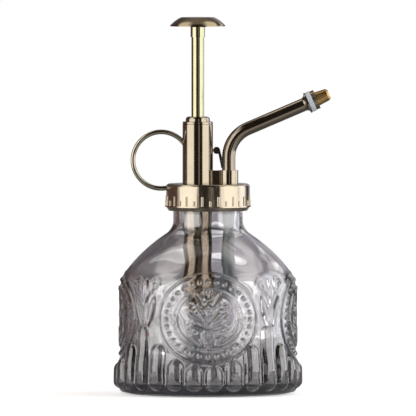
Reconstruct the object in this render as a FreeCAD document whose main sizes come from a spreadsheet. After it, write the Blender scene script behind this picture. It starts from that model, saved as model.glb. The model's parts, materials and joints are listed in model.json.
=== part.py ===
import FreeCAD, Part
import os
import re
import Sketcher

# Hand mister: glass bottle, screw cap, brass push pump and an adjustable mist nozzle.
# The origin is the centre of the plane the bottle stands on.  +Z is up, +X is the way the spout
# points, and -X is the finger ring's side.  All sizes are in millimetres and degrees.

DIMENSIONS = {
    # axes of the three things that stand on the cap
    "pump_x": -4.6,
    "spout_x": 9.3,
    "ring_x": -21.0,
    # bottle, outside
    "lip_z": 90.2,
    "lip_round": 0.8,
    "neck_r": 15.6,
    "neck_foot_z": 76.0,
    "neck_fillet": 3.8,
    "shoulder_r": 17.3,
    "shoulder_z": 72.85,
    "shoulder_arc": 75.0,
    "haunch_r": 35.9,
    "haunch_z": 56.4,
    "haunch_arc": 14.8,
    "body_r": 39.2,
    "body_top_z": 47.1,
    "body_low_z": 18.0,
    "band_r": 42.4,
    "band_top_z": 12.6,
    "foot_arc": 7.5,
    "foot_r": 34.9,
    "foot_ring_r": 31.0,
    "punt_r": 28.5,
    "punt_z": 1.6,
    # bottle, inside
    "mouth_r": 13.2,
    "wall_shoulder": 2.6,
    "wall_haunch": 3.0,
    "inner_shoulder_r": 15.92,
    "inner_shoulder_z": 70.65,
    "inner_haunch_r": 33.57,
    "inner_haunch_z": 54.51,
    "floor_z": 5.0,
    "floor_arc": 7.0,
    # screw thread between the cap and the neck
    "thread_pitch": 3.0,
    "thread_half_base": 0.65,
    "thread_half_crest": 0.35,
    "thread_root_bite": 0.2,
    "neck_thread_z": 83.9,
    "neck_thread_r": 16.5,
    "neck_thread_turns": 1.25,
    "liner_thread_r": 16.0,
    "liner_thread_turns": 1.0,
    # cap shell, liner, gasket and carrier
    "cap_r": 18.8,
    "cap_wall": 0.9,
    "cap_top_z": 94.3,
    "cap_round": 1.4,
    "hem_r": 19.35,
    "hem_z": 83.9,
    "hem_thick": 0.6,
    "curl_r": 17.0,
    "curl_z": 82.2,
    "curl_out_r": 17.7,
    "rib_r": 0.6,
    "rib_sink": 0.15,
    "rib_short_z": 86.9,
    "rib_tall_z": 88.8,
    "rib_count": 16,
    "rib_turn": 3.2,
    "liner_out_r": 17.85,
    "liner_z": 84.5,
    "carrier_z": 91.6,
    "carrier_r": 17.8,
    "plug_r": 12.9,
    "plug_z": 84.0,
    "gasket_in_r": 13.3,
    "gasket_out_r": 16.4,
    "seat_depth": 0.8,
    "flange_thick": 0.75,
    "vent_r": 0.6,
    "vent_x": 2.2,
    "vent_y": 9.6,
    # pump barrel, inner cylinder and gland
    "barrel_r": 6.85,
    "barrel_bore_r": 6.45,
    "barrel_flange_r": 7.5,
    "barrel_seat_r": 7.6,
    "barrel_hole_r": 6.95,
    "barrel_top_z": 121.1,
    "barrel_round": 0.35,
    "cylinder_r": 6.4,
    "cylinder_bore_r": 5.8,
    "cylinder_low_z": 53.4,
    "cylinder_top_z": 120.5,
    "gland_low_z": 117.0,
    "gland_top_z": 124.4,
    "gland_flange_r": 6.8,
    "gland_flange_z": 122.2,
    "gland_dome_r": 5.45,
    "gland_round": 1.3,
    "gland_spigot_r": 5.75,
    "gland_bore_r": 3.4,
    "gland_lip": 1.2,
    "bush_seat_r": 4.2,
    "bush_r": 4.15,
    "bush_bore_r": 2.9,
    # plunger
    "rod_r": 2.85,
    "rod_bore_r": 2.15,
    "rod_low_z": 112.2,
    "rod_top_z": 163.8,
    "collar_r": 3.25,
    "collar_low_z": 160.1,
    "collar_top_z": 164.6,
    "fit_gap": 0.02,
    "stem_r": 2.1,
    "stem_low_z": 156.0,
    "button_r": 12.45,
    "button_rim_z": 164.95,
    "button_top_z": 169.0,
    "button_flat_r": 7.5,
    "button_hollow_z": 166.0,
    "piston_r": 5.65,
    "piston_low_z": 111.0,
    "groove_r": 4.4,
    "groove_z": 113.9,
    "groove_half": 0.9,
    "seal_mid_r": 5.1,
    "seal_half": 0.68,
    # return spring
    "spring_mid_r": 4.7,
    "spring_wire_r": 0.35,
    "spring_turns": 15,
    "spring_low_z": 56.4,
    # valve block at the cylinder's foot
    "block_low_z": 38.0,
    "socket_top_z": 42.0,
    "block_cone_z": 45.5,
    "suction_socket_r": 3.6,
    "arm_low_z": 42.5,
    "arm_top_z": 53.4,
    "arm_width": 5.2,
    "boss_r": 3.7,
    "boss_top_z": 53.6,
    "valve_hole_r": 1.2,
    "inlet_seat_z": 43.0,
    "inlet_chamber_r": 2.4,
    "inlet_disc_z": 47.3,
    "inlet_disc_r": 3.95,
    "inlet_well_r": 4.0,
    "inlet_disc_thick": 1.0,
    "port_z": 45.3,
    "port_r": 1.1,
    "outlet_well_z": 44.0,
    "outlet_seat_z": 46.6,
    "outlet_chamber_r": 2.3,
    "outlet_disc_z": 50.4,
    "outlet_disc_r": 2.9,
    "outlet_disc_thick": 0.8,
    "ball_r": 1.6,
    "ball_gap": 0.005,
    # tubes inside the bottle
    "suction_r": 2.0,
    "suction_bore_r": 1.3,
    "suction_low_z": 8.0,
    "suction_top_z": 41.5,
    "delivery_r": 2.9,
    "delivery_bore_r": 1.5,
    "delivery_top_z": 93.6,
    # spout
    "spout_socket_r": 4.3,
    "spout_socket_z": 100.3,
    "spout_flange_r": 4.9,
    "spout_seat_r": 5.0,
    "spout_hole_r": 4.35,
    "spout_ledge_z": 94.2,
    "spout_seal_top_z": 95.0,
    "passage_r": 1.6,
    "web_width": 3.2,
    "web_top_z": 100.2,
    "spout_r": 3.0,
    "spout_bore_r": 2.3,
    "bend_r": 14.0,
    "bend_z": 115.3,
    "rise_deg": 23.2,
    "spout_end": 36.9,
    # nozzle, measured along the sloping spout from the bend's corner
    "spigot_start": 32.0,
    "spigot_r": 2.25,
    "stud_bore_r": 1.0,
    "flare_end": 38.3,
    "nozzle_flange_r": 4.75,
    "nozzle_flange_end": 39.0,
    "stud_r": 2.0,
    "stud_end": 45.0,
    "washer_r": 4.65,
    "washer_end": 41.2,
    "knurl_r": 4.4,
    "knurl_end": 43.1,
    "knurl_count": 24,
    "tip_start_r": 3.2,
    "tip_end_r": 2.75,
    "tip_shoulder": 48.1,
    "tip_end": 49.0,
    "tip_face_r": 2.0,
    "tip_bore_r": 2.1,
    "tip_bore_end": 46.6,
    "orifice_r": 0.4,
    "orifice_start": 47.6,
    "nozzle_groove_mid": 42.7,
    "nozzle_groove_half": 0.5,
    "nozzle_groove_r": 2.5,
    "nozzle_seal_mid_r": 2.27,
    "nozzle_seal_half": 0.22,
    "core_start": 43.6,
    "core_stem_r": 0.95,
    "core_head_r": 1.7,
    "core_head_end": 45.9,
    "core_tip_end": 46.9,
    "core_tip_r": 0.35,
    "core_slot": 0.5,
    # finger ring and brace
    "ring_z": 104.8,
    "ring_mid_r": 12.7,
    "ring_half_thick": 1.05,
    "ring_half_width": 1.6,
    "ring_round": 1.0,
    "brace_width": 3.0,
    "brace_low_z": 101.2,
    "brace_high_z": 106.0,
    "bead_r": 1.6,
    "bead_x": 3.87,
    "bead_z": 109.2,
}

document = FreeCAD.newDocument("HandMister")
sheet = document.addObject("Spreadsheet::Sheet", "Dims")
for row, (name, value) in enumerate(DIMENSIONS.items(), start=1):
    sheet.set(f"A{row}", name)
    sheet.set(f"B{row}", str(value))
    sheet.setAlias(f"B{row}", name)
document.recompute()

pieces = {}


def bound(text):
    """Point each dimension name in an expression at its spreadsheet cell."""
    return re.sub(r"[a-z]\w*", lambda word: f"Dims.{word[0]}" if word[0] in DIMENSIONS else word[0], text)


def piece(label, axis_x=None):
    """Start a piece, with its own axis standing at axis_x."""
    body = document.addObject("PartDesign::Body", label)
    body.Label = label
    pieces[label] = body
    if axis_x:
        body.setExpression("Placement.Base.x", bound(axis_x))
    return body


def nozzle_piece(label):
    """Start a piece whose own axis is the spout's sloping end, with z counted from the bend's corner."""
    body = piece(label, "spout_x")
    body.Placement = FreeCAD.Placement(FreeCAD.Vector(), FreeCAD.Rotation(FreeCAD.Vector(0, 1, 0), 60))
    body.setExpression("Placement.Rotation.Angle", bound("90 - rise_deg"))
    body.setExpression("Placement.Base.z", bound("bend_z"))
    return body


def feature(body, kind, label, sketch=None):
    made = body.newObject("PartDesign::" + kind, label)
    if sketch:
        made.Profile = sketch
    body.Tip = made
    return made


def new_sketch(body, label, plane, offset=None):
    sketch = body.newObject("Sketcher::SketchObject", label)
    origin_plane = [entry for entry in body.Origin.OriginFeatures if entry.Role == plane][0]
    sketch.AttachmentSupport = [(origin_plane, "")]
    sketch.MapMode = "FlatFace"
    if offset:
        sketch.setExpression("AttachmentOffset.Base.z", bound(offset))
    return sketch


def hold(body, sketch, kind, entry, *references):
    """Add a driving constraint whose value is an expression."""
    value = float(body.evalExpression(bound(entry)))
    index = sketch.addConstraint(Sketcher.Constraint(kind, *references, value))
    sketch.setExpression(f"Constraints[{index}]", bound(entry))


def outline(body, label, plane, corners, arcs=None, offset=None, closed=True):
    """Sketch the path through the corners.

    Edge n runs from corner n to the next one.  arcs gives an edge's (radius, side): side +1 curves
    round a centre on the left of the way the edge runs, and side -1 round one on its right.
    """
    arcs = arcs or {}
    sketch = new_sketch(body, label, plane, offset)
    spots = [[float(body.evalExpression(bound(entry))) for entry in corner] for corner in corners]
    count = len(corners) if closed else len(corners) - 1
    ends = []
    for edge in range(count):
        start = FreeCAD.Vector(*spots[edge])
        stop = FreeCAD.Vector(*spots[(edge + 1) % len(spots)])
        if edge not in arcs:
            sketch.addGeometry(Part.LineSegment(start, stop))
            ends.append((1, 2))
            continue
        radius, side = arcs[edge]
        size = float(body.evalExpression(bound(radius)))
        along = stop - start
        rise = (size ** 2 - (along.Length / 2) ** 2) ** 0.5
        across = FreeCAD.Vector(-along.y, along.x, 0).normalize() * rise * side
        centre = start + along * 0.5 + across
        outward = (start + along * 0.5 - centre).normalize() * size + centre
        first, last = (start, stop) if side > 0 else (stop, start)
        sketch.addGeometry(Part.Arc(first, outward, last))
        ends.append((1, 2) if side > 0 else (2, 1))
    for edge in range(count if closed else count - 1):
        following = (edge + 1) % count
        joined = (edge, ends[edge][1], following, ends[following][0])
        sketch.addConstraint(Sketcher.Constraint("Coincident", *joined))
    for number, corner in enumerate(corners):
        edge, side = (number, 0) if number < count else (number - 1, 1)
        hold(body, sketch, "DistanceX", corner[0], -1, 1, edge, ends[edge][side])
        hold(body, sketch, "DistanceY", corner[1], -1, 1, edge, ends[edge][side])
    for edge, (radius, side) in arcs.items():
        hold(body, sketch, "Radius", radius, edge)
    return sketch


def circles(body, label, plane, x, y, radii, offset=None):
    """Sketch concentric circles round (x, y)."""
    sketch = new_sketch(body, label, plane, offset)
    centre = FreeCAD.Vector(*[float(body.evalExpression(bound(entry))) for entry in (x, y)])
    for index, radius in enumerate(radii):
        size = float(body.evalExpression(bound(radius)))
        sketch.addGeometry(Part.Circle(centre, FreeCAD.Vector(0, 0, 1), size))
        hold(body, sketch, "DistanceX", x, -1, 1, index, 3)
        hold(body, sketch, "DistanceY", y, -1, 1, index, 3)
        hold(body, sketch, "Radius", radius, index)
    return sketch


def turned(body, label, corners, arcs=None, kind="Revolution"):
    """Turn an outline of (radius, z) corners about the piece's own axis."""
    sketch = outline(body, label + "_outline", "XZ_Plane", corners, arcs)
    made = feature(body, kind, label, sketch)
    made.ReferenceAxis = (sketch, ["V_Axis"])
    made.Angle = 360
    return made


def turned_circle(body, label, mid_radius, mid_z, radius):
    """Turn a circle about the piece's own axis, as for a ring seal or a ball."""
    sketch = circles(body, label + "_outline", "XZ_Plane", mid_radius, mid_z, [radius])
    made = feature(body, "Revolution", label, sketch)
    made.ReferenceAxis = (sketch, ["V_Axis"])
    made.Angle = 360
    return made


def padded(body, label, corners, width, arcs=None, kind="Pad"):
    """Give an outline of (x, z) corners a width, half each side of the XZ plane."""
    made = feature(body, kind, label, outline(body, label + "_outline", "XZ_Plane", corners, arcs))
    made.SideType = "Symmetric"
    made.setExpression("Length", bound(width))
    return made


def bored(body, label, x, y, radius, start, depth, plane="XY_Plane"):
    """Cut a round hole from the offset plane at start, against the plane's normal."""
    made = feature(body, "Pocket", label, circles(body, label + "_outline", plane, x, y, [radius], start))
    made.setExpression("Length", bound(depth))
    return made


def repeated(body, label, original, count):
    """Repeat a feature round the piece's own axis."""
    made = feature(body, "PolarPattern", label)
    made.Originals = [original]
    made.Axis = ([entry for entry in body.Origin.OriginFeatures if entry.Role == "Z_Axis"][0], [""])
    made.Angle = 360
    made.setExpression("Occurrences", bound(count))
    return made


def wound(body, label, sketch, pitch, turns):
    """Sweep a sketch along a right-hand helix about the piece's own axis."""
    made = feature(body, "AdditiveHelix", label, sketch)
    made.ReferenceAxis = (sketch, ["V_Axis"])
    made.Mode = 1
    made.setExpression("Pitch", bound(pitch))
    made.setExpression("Turns", bound(turns))
    return made


def thread_outline(body, label, root, crest, z):
    """Sketch a thread's section, with its crest pointing away from its root."""
    corners = [
        (root, f"{z} - thread_half_base"),
        (crest, f"{z} - thread_half_crest"),
        (crest, f"{z} + thread_half_crest"),
        (root, f"{z} + thread_half_base"),
    ]
    return outline(body, label, "XZ_Plane", corners)


def tube(label, inner, outer, low, high, axis_x=None):
    """Make a plain straight tube or washer."""
    body = piece(label, axis_x)
    turned(body, label + "_wall", [(inner, low), (outer, low), (outer, high), (inner, high)])
    return body


def pierced_disc(label, axis_x, radius, low, thick, hole_r, hole_ring_r):
    """Make a disc with one hole in its middle and three round it."""
    body = piece(label, axis_x)
    high = f"{low} + {thick}"
    turned(body, label + "_disc", [("0", low), (radius, low), (radius, high), ("0", high)])
    bored(body, label + "_middle", "0", "0", hole_r, high, thick)
    hole = bored(body, label + "_hole", hole_ring_r, "0", hole_r, high, thick)
    repeated(body, label + "_holes", hole, "3")
    return body


def ball(label, axis_x, seat_z):
    """Rest a ball on the edge of a valve hole, with a hair's gap."""
    body = piece(label, axis_x)
    body.setExpression(
        "Placement.Base.z", bound(f"{seat_z} + sqrt(ball_r ^ 2 - valve_hole_r ^ 2) + ball_gap")
    )
    sphere = feature(body, "AdditiveSphere", label + "_sphere")
    sphere.setExpression("Radius", bound("ball_r"))
    return body


# ---- bottle -----------------------------------------------------------------------------------

bottle = piece("glass_bottle")
turned(
    bottle,
    "bottle_wall",
    [
        ("0", "punt_z"),
        ("punt_r", "punt_z"),
        ("foot_ring_r", "0"),
        ("foot_r", "0"),
        ("band_r", "foot_arc"),
        ("band_r", "band_top_z"),
        ("body_r", "body_low_z"),
        ("body_r", "body_top_z"),
        ("haunch_r", "haunch_z"),
        ("shoulder_r", "shoulder_z"),
        ("neck_r", "neck_foot_z"),
        ("neck_r", "lip_z - lip_round"),
        ("neck_r - lip_round", "lip_z"),
        ("mouth_r", "lip_z"),
        ("mouth_r", "neck_foot_z"),
        ("inner_shoulder_r", "inner_shoulder_z"),
        ("inner_haunch_r", "inner_haunch_z"),
        ("body_r - wall_haunch", "body_top_z"),
        ("body_r - wall_haunch", "floor_z + floor_arc"),
        ("body_r - wall_haunch - floor_arc", "floor_z"),
        ("0", "floor_z"),
    ],
    {
        3: ("foot_arc", 1),
        7: ("haunch_arc", 1),
        8: ("shoulder_arc", 1),
        9: ("neck_fillet", -1),
        11: ("lip_round", 1),
        14: ("neck_fillet + wall_shoulder", 1),
        15: ("shoulder_arc - wall_shoulder", -1),
        16: ("haunch_arc - wall_haunch", -1),
        18: ("floor_arc", -1),
    },
)
neck_thread = thread_outline(
    bottle, "neck_thread_outline", "neck_r - thread_root_bite", "neck_thread_r", "neck_thread_z"
)
wound(bottle, "neck_thread", neck_thread, "thread_pitch", "neck_thread_turns")

# ---- cap --------------------------------------------------------------------------------------

cap = piece("screw_cap")
turned(
    cap,
    "cap_shell",
    [
        ("0", "cap_top_z - cap_wall"),
        ("cap_r - cap_wall", "cap_top_z - cap_wall"),
        ("cap_r - cap_wall", "liner_z - 0.1"),
        ("curl_r", "liner_z - 0.1"),
        ("curl_r", "curl_z"),
        ("curl_out_r", "curl_z"),
        ("cap_r", "hem_z"),
        ("hem_r", "hem_z"),
        ("hem_r", "hem_z + hem_thick"),
        ("cap_r", "hem_z + hem_thick"),
        ("cap_r", "cap_top_z - cap_round"),
        ("cap_r - cap_round", "cap_top_z"),
        ("0", "cap_top_z"),
    ],
    {10: ("cap_round", 1)},
)
for name, turn, top in (
    ("short_rib", "rib_turn", "rib_short_z"),
    ("tall_rib", "rib_turn + 180 / rib_count", "rib_tall_z"),
):
    section = circles(
        cap,
        name + "_outline",
        "XY_Plane",
        f"(cap_r - rib_sink) * cos({turn})",
        f"(cap_r - rib_sink) * sin({turn})",
        ["rib_r"],
        "hem_z + 0.1",
    )
    rib = feature(cap, "Pad", name, section)
    rib.setExpression("Length", bound(f"{top} - hem_z - 0.1"))
    repeated(cap, name + "s", rib, "rib_count")
bored(cap, "barrel_hole", "pump_x", "0", "barrel_hole_r", "cap_top_z", "cap_wall")
bored(cap, "spout_hole", "spout_x", "0", "spout_hole_r", "cap_top_z", "cap_wall")
bored(cap, "cap_vent", "vent_x", "vent_y", "vent_r", "cap_top_z", "cap_wall")

liner = tube("cap_liner", "curl_r", "liner_out_r", "liner_z", "carrier_z - 0.05")
liner_thread = thread_outline(
    liner,
    "liner_thread_outline",
    "curl_r + thread_root_bite",
    "liner_thread_r",
    "neck_thread_z + thread_pitch / 2",
)
wound(liner, "liner_thread", liner_thread, "thread_pitch", "liner_thread_turns")

tube("cap_gasket", "gasket_in_r", "gasket_out_r", "lip_z", "carrier_z")

carrier = piece("pump_carrier")
turned(
    carrier,
    "carrier_plug",
    [
        ("0", "plug_z"),
        ("plug_r", "plug_z"),
        ("plug_r", "carrier_z"),
        ("carrier_r", "carrier_z"),
        ("carrier_r", "cap_top_z - cap_wall"),
        ("0", "cap_top_z - cap_wall"),
    ],
)
CARRIER_TOP = "cap_top_z - cap_wall"
CARRIER_DEPTH = "cap_top_z - cap_wall - plug_z"
bored(carrier, "barrel_seat", "pump_x", "0", "barrel_seat_r", CARRIER_TOP, "seat_depth")
bored(carrier, "spout_seat", "spout_x", "0", "spout_seat_r", CARRIER_TOP, "seat_depth")
bored(carrier, "cylinder_bore", "pump_x", "0", "barrel_bore_r", CARRIER_TOP, CARRIER_DEPTH)
bored(carrier, "delivery_bore", "spout_x", "0", "delivery_r + 0.05", CARRIER_TOP, CARRIER_DEPTH)
bored(carrier, "carrier_vent", "vent_x", "vent_y", "vent_r", CARRIER_TOP, CARRIER_DEPTH)

# ---- pump barrel and gland ----------------------------------------------------------------------

barrel = piece("pump_barrel", "pump_x")
turned(
    barrel,
    "barrel_wall",
    [
        ("barrel_bore_r", "cap_top_z - cap_wall - seat_depth"),
        ("barrel_flange_r", "cap_top_z - cap_wall - seat_depth"),
        ("barrel_flange_r", "cap_top_z - cap_wall - seat_depth + flange_thick"),
        ("barrel_r", "cap_top_z - cap_wall - seat_depth + flange_thick"),
        ("barrel_r", "barrel_top_z - barrel_round"),
        ("barrel_r - barrel_round", "barrel_top_z"),
        ("barrel_bore_r", "barrel_top_z"),
    ],
    {4: ("barrel_round", 1)},
)

tube("pump_cylinder", "cylinder_bore_r", "cylinder_r", "cylinder_low_z", "cylinder_top_z", "pump_x")

gland = piece("gland_cap", "pump_x")
turned(
    gland,
    "gland_dome",
    [
        ("bush_seat_r", "gland_low_z"),
        ("gland_spigot_r", "gland_low_z"),
        ("gland_spigot_r", "barrel_top_z"),
        ("gland_flange_r", "barrel_top_z"),
        ("gland_flange_r", "gland_flange_z - 0.5"),
        ("gland_flange_r - 0.5", "gland_flange_z"),
        ("gland_dome_r", "gland_flange_z"),
        ("gland_dome_r", "gland_top_z - gland_round"),
        ("gland_dome_r - gland_round", "gland_top_z"),
        ("gland_bore_r", "gland_top_z"),
        ("gland_bore_r", "gland_top_z - gland_lip"),
        ("bush_seat_r", "gland_top_z - gland_lip"),
    ],
    {4: ("0.5", 1), 7: ("gland_round", 1)},
)

tube("guide_bush", "bush_bore_r", "bush_r", "gland_low_z + 0.1", "gland_top_z - gland_lip - 0.05", "pump_x")

# ---- plunger ----------------------------------------------------------------------------------

tube("plunger_rod", "rod_bore_r", "rod_r", "rod_low_z", "rod_top_z", "pump_x")
tube("button_collar", "rod_r + fit_gap", "collar_r", "collar_low_z", "collar_top_z", "pump_x")

button = piece("thumb_button", "pump_x")
turned(
    button,
    "button_crown",
    [
        ("0", "stem_low_z"),
        ("stem_r", "stem_low_z"),
        ("stem_r", "collar_top_z"),
        ("collar_r + 0.4", "collar_top_z"),
        ("collar_r + 1.6", "button_hollow_z"),
        ("button_r - 1.8", "button_hollow_z"),
        ("button_r - 0.5", "button_rim_z"),
        ("button_r", "button_rim_z"),
        ("button_r", "button_rim_z + 0.35"),
        ("button_flat_r", "button_top_z"),
        ("0", "button_top_z"),
    ],
    {8: ("16", 1)},
)

piston = piece("piston", "pump_x")
turned(
    piston,
    "piston_head",
    [
        ("0", "piston_low_z"),
        ("piston_r", "piston_low_z"),
        ("piston_r", "groove_z - groove_half"),
        ("groove_r", "groove_z - groove_half"),
        ("groove_r", "groove_z + groove_half"),
        ("piston_r", "groove_z + groove_half"),
        ("piston_r", "gland_low_z - fit_gap"),
        ("rod_r + fit_gap", "gland_low_z - fit_gap"),
        ("rod_r + fit_gap", "rod_low_z"),
        ("0", "rod_low_z"),
    ],
)

turned_circle(piece("piston_o_ring", "pump_x"), "piston_seal", "seal_mid_r", "groove_z", "seal_half")

spring = piece("return_spring", "pump_x")
wire = circles(
    spring, "spring_wire", "XZ_Plane", "spring_mid_r", "spring_low_z + spring_wire_r + 0.05", ["spring_wire_r"]
)
wound(
    spring,
    "spring_coils",
    wire,
    "(piston_low_z - spring_low_z - 2 * spring_wire_r - 0.1) / spring_turns",
    "spring_turns",
)

# ---- valve block, balls and the tubes inside the bottle ------------------------------------------

block = piece("valve_block", "pump_x")
turned(
    block,
    "block_core",
    [
        ("0", "block_low_z"),
        ("suction_socket_r", "block_low_z"),
        ("suction_socket_r", "socket_top_z"),
        ("cylinder_r", "block_cone_z"),
        ("cylinder_r", "cylinder_low_z"),
        ("gland_spigot_r", "cylinder_low_z"),
        ("gland_spigot_r", "spring_low_z"),
        ("0", "spring_low_z"),
    ],
)
padded(
    block,
    "block_arm",
    [
        ("0", "arm_low_z"),
        ("spout_x - pump_x", "arm_low_z"),
        ("spout_x - pump_x", "arm_top_z"),
        ("0", "arm_top_z"),
    ],
    "arm_width",
)
boss = feature(
    block,
    "Pad",
    "block_boss",
    circles(block, "block_boss_outline", "XY_Plane", "spout_x - pump_x", "0", ["boss_r"], "arm_low_z"),
)
boss.setExpression("Length", bound("boss_top_z - arm_low_z"))
bored(block, "inlet_well", "0", "0", "inlet_well_r", "spring_low_z", "spring_low_z - inlet_disc_z")
bored(block, "inlet_chamber", "0", "0", "inlet_chamber_r", "inlet_disc_z", "inlet_disc_z - inlet_seat_z")
bored(block, "inlet_hole", "0", "0", "valve_hole_r", "inlet_seat_z", "inlet_seat_z - suction_top_z")
bored(block, "suction_bore", "0", "0", "suction_r + fit_gap", "suction_top_z", "suction_top_z - block_low_z")
OUTLET = "spout_x - pump_x"
bored(block, "delivery_socket", OUTLET, "0", "delivery_r + 0.05", "boss_top_z", "boss_top_z - outlet_disc_z")
bored(block, "outlet_chamber", OUTLET, "0", "outlet_chamber_r", "outlet_disc_z", "outlet_disc_z - outlet_seat_z")
bored(block, "outlet_hole", OUTLET, "0", "valve_hole_r", "outlet_seat_z", "outlet_seat_z - outlet_well_z")
port = bored(block, "side_port", "0", "port_z", "port_r", "0", "spout_x - pump_x", "YZ_Plane")
port.Reversed = True

ball("inlet_ball", "pump_x", "inlet_seat_z")
ball("outlet_ball", "spout_x", "outlet_seat_z")
pierced_disc("inlet_retainer", "pump_x", "inlet_disc_r", "inlet_disc_z", "inlet_disc_thick", "0.55", "1.5")
pierced_disc("outlet_retainer", "spout_x", "outlet_disc_r", "outlet_disc_z", "outlet_disc_thick", "0.35", "1.0")

tube("suction_tube", "suction_bore_r", "suction_r", "suction_low_z", "suction_top_z", "pump_x")
tube(
    "delivery_tube",
    "delivery_bore_r",
    "delivery_r",
    "outlet_disc_z + outlet_disc_thick",
    "delivery_top_z",
    "spout_x",
)

# ---- spout ------------------------------------------------------------------------------------

base = piece("spout_base", "spout_x")
turned(
    base,
    "base_socket",
    [
        ("delivery_r + fit_gap", "cap_top_z - cap_wall - seat_depth"),
        ("spout_flange_r", "cap_top_z - cap_wall - seat_depth"),
        ("spout_flange_r", "cap_top_z - cap_wall - seat_depth + flange_thick"),
        ("spout_socket_r", "cap_top_z - cap_wall - seat_depth + flange_thick"),
        ("spout_socket_r", "spout_socket_z"),
        ("spout_r + fit_gap", "spout_socket_z"),
        ("spout_r + fit_gap", "spout_ledge_z"),
        ("passage_r", "spout_ledge_z"),
        ("passage_r", "delivery_top_z"),
        ("delivery_r + fit_gap", "delivery_top_z"),
    ],
)
padded(
    base,
    "base_web",
    [
        ("pump_x + barrel_r - 1 - spout_x", "cap_top_z"),
        ("0.5 - spout_socket_r", "cap_top_z"),
        ("0.5 - spout_socket_r", "web_top_z"),
        ("pump_x + barrel_r - 1 - spout_x", "web_top_z"),
    ],
    "web_width",
)
bored(
    base,
    "web_saddle",
    "pump_x - spout_x",
    "0",
    "barrel_r + fit_gap",
    "web_top_z + 1",
    "web_top_z - cap_top_z + 1",
)

tube("spout_seal", "passage_r", "spout_r", "spout_ledge_z", "spout_seal_top_z", "spout_x")

spout = piece("spout_tube", "spout_x")
TANGENT = "bend_r * tan((90 - rise_deg) / 2)"
path = outline(
    spout,
    "spout_path",
    "XZ_Plane",
    [
        ("0", "spout_seal_top_z"),
        ("0", f"bend_z - {TANGENT}"),
        (f"{TANGENT} * cos(rise_deg)", f"bend_z + {TANGENT} * sin(rise_deg)"),
        ("spout_end * cos(rise_deg)", "bend_z + spout_end * sin(rise_deg)"),
    ],
    {1: ("bend_r", -1)},
    closed=False,
)
wall = circles(spout, "spout_section", "XY_Plane", "0", "0", ["spout_r", "spout_bore_r"], "spout_seal_top_z")
sweep = feature(spout, "AdditivePipe", "spout_sweep", wall)
sweep.Spine = (path, [])

# ---- nozzle -----------------------------------------------------------------------------------

turned(
    nozzle_piece("nozzle_adapter"),
    "adapter_stud",
    [
        ("stud_bore_r", "spigot_start"),
        ("spigot_r", "spigot_start"),
        ("spigot_r", "spout_end"),
        ("spout_r", "spout_end"),
        ("nozzle_flange_r - 0.15", "flare_end"),
        ("nozzle_flange_r", "flare_end"),
        ("nozzle_flange_r", "nozzle_flange_end"),
        ("stud_r", "nozzle_flange_end"),
        ("stud_r", "stud_end"),
        ("stud_bore_r", "stud_end"),
    ],
    {3: ("1.9", -1)},
)

turned(
    nozzle_piece("nozzle_washer"),
    "washer_ring",
    [
        ("stud_r + 0.05", "nozzle_flange_end"),
        ("washer_r - 0.25", "nozzle_flange_end"),
        ("washer_r", "nozzle_flange_end + 0.25"),
        ("washer_r", "washer_end - 0.25"),
        ("washer_r - 0.25", "washer_end"),
        ("stud_r + 0.05", "washer_end"),
    ],
)

tip = nozzle_piece("nozzle_cap")
turned(
    tip,
    "tip_shell",
    [
        ("tip_bore_r", "washer_end"),
        ("knurl_r", "washer_end"),
        ("knurl_r", "knurl_end"),
        ("tip_start_r", "knurl_end"),
        ("tip_end_r", "tip_shoulder"),
        ("tip_face_r", "tip_end"),
        ("orifice_r", "tip_end"),
        ("orifice_r", "orifice_start"),
        ("1.3", "tip_bore_end"),
        ("tip_bore_r", "tip_bore_end"),
        ("tip_bore_r", "nozzle_groove_mid + nozzle_groove_half"),
        ("nozzle_groove_r", "nozzle_groove_mid + nozzle_groove_half"),
        ("nozzle_groove_r", "nozzle_groove_mid - nozzle_groove_half"),
        ("tip_bore_r", "nozzle_groove_mid - nozzle_groove_half"),
    ],
)
knurl = padded(
    tip,
    "knurl_notch",
    [
        ("knurl_r - 0.35", "washer_end - 0.1"),
        ("knurl_r + 0.2", "washer_end - 0.1"),
        ("knurl_r + 0.2", "knurl_end + 0.1"),
        ("knurl_r - 0.35", "knurl_end + 0.1"),
    ],
    "0.5",
    kind="Pocket",
)
repeated(tip, "knurl_notches", knurl, "knurl_count")

core = nozzle_piece("swirl_core")
turned(
    core,
    "core_body",
    [
        ("0", "core_start"),
        ("core_stem_r", "core_start"),
        ("core_stem_r", "stud_end"),
        ("core_head_r", "stud_end"),
        ("core_head_r", "core_head_end"),
        ("core_tip_r", "core_tip_end"),
        ("0", "core_tip_end"),
    ],
)
slot = padded(
    core,
    "core_slot",
    [
        ("core_stem_r - core_slot", "core_start - 0.1"),
        ("core_head_r + 0.2", "core_start - 0.1"),
        ("core_head_r + 0.2", "core_head_end + 0.1"),
        ("core_stem_r - core_slot", "core_head_end + 0.1"),
    ],
    "core_slot",
    kind="Pocket",
)
repeated(core, "core_slots", slot, "2")

turned_circle(
    nozzle_piece("nozzle_o_ring"), "nozzle_seal", "nozzle_seal_mid_r", "nozzle_groove_mid", "nozzle_seal_half"
)

# ---- finger ring and brace ------------------------------------------------------------------------

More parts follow.
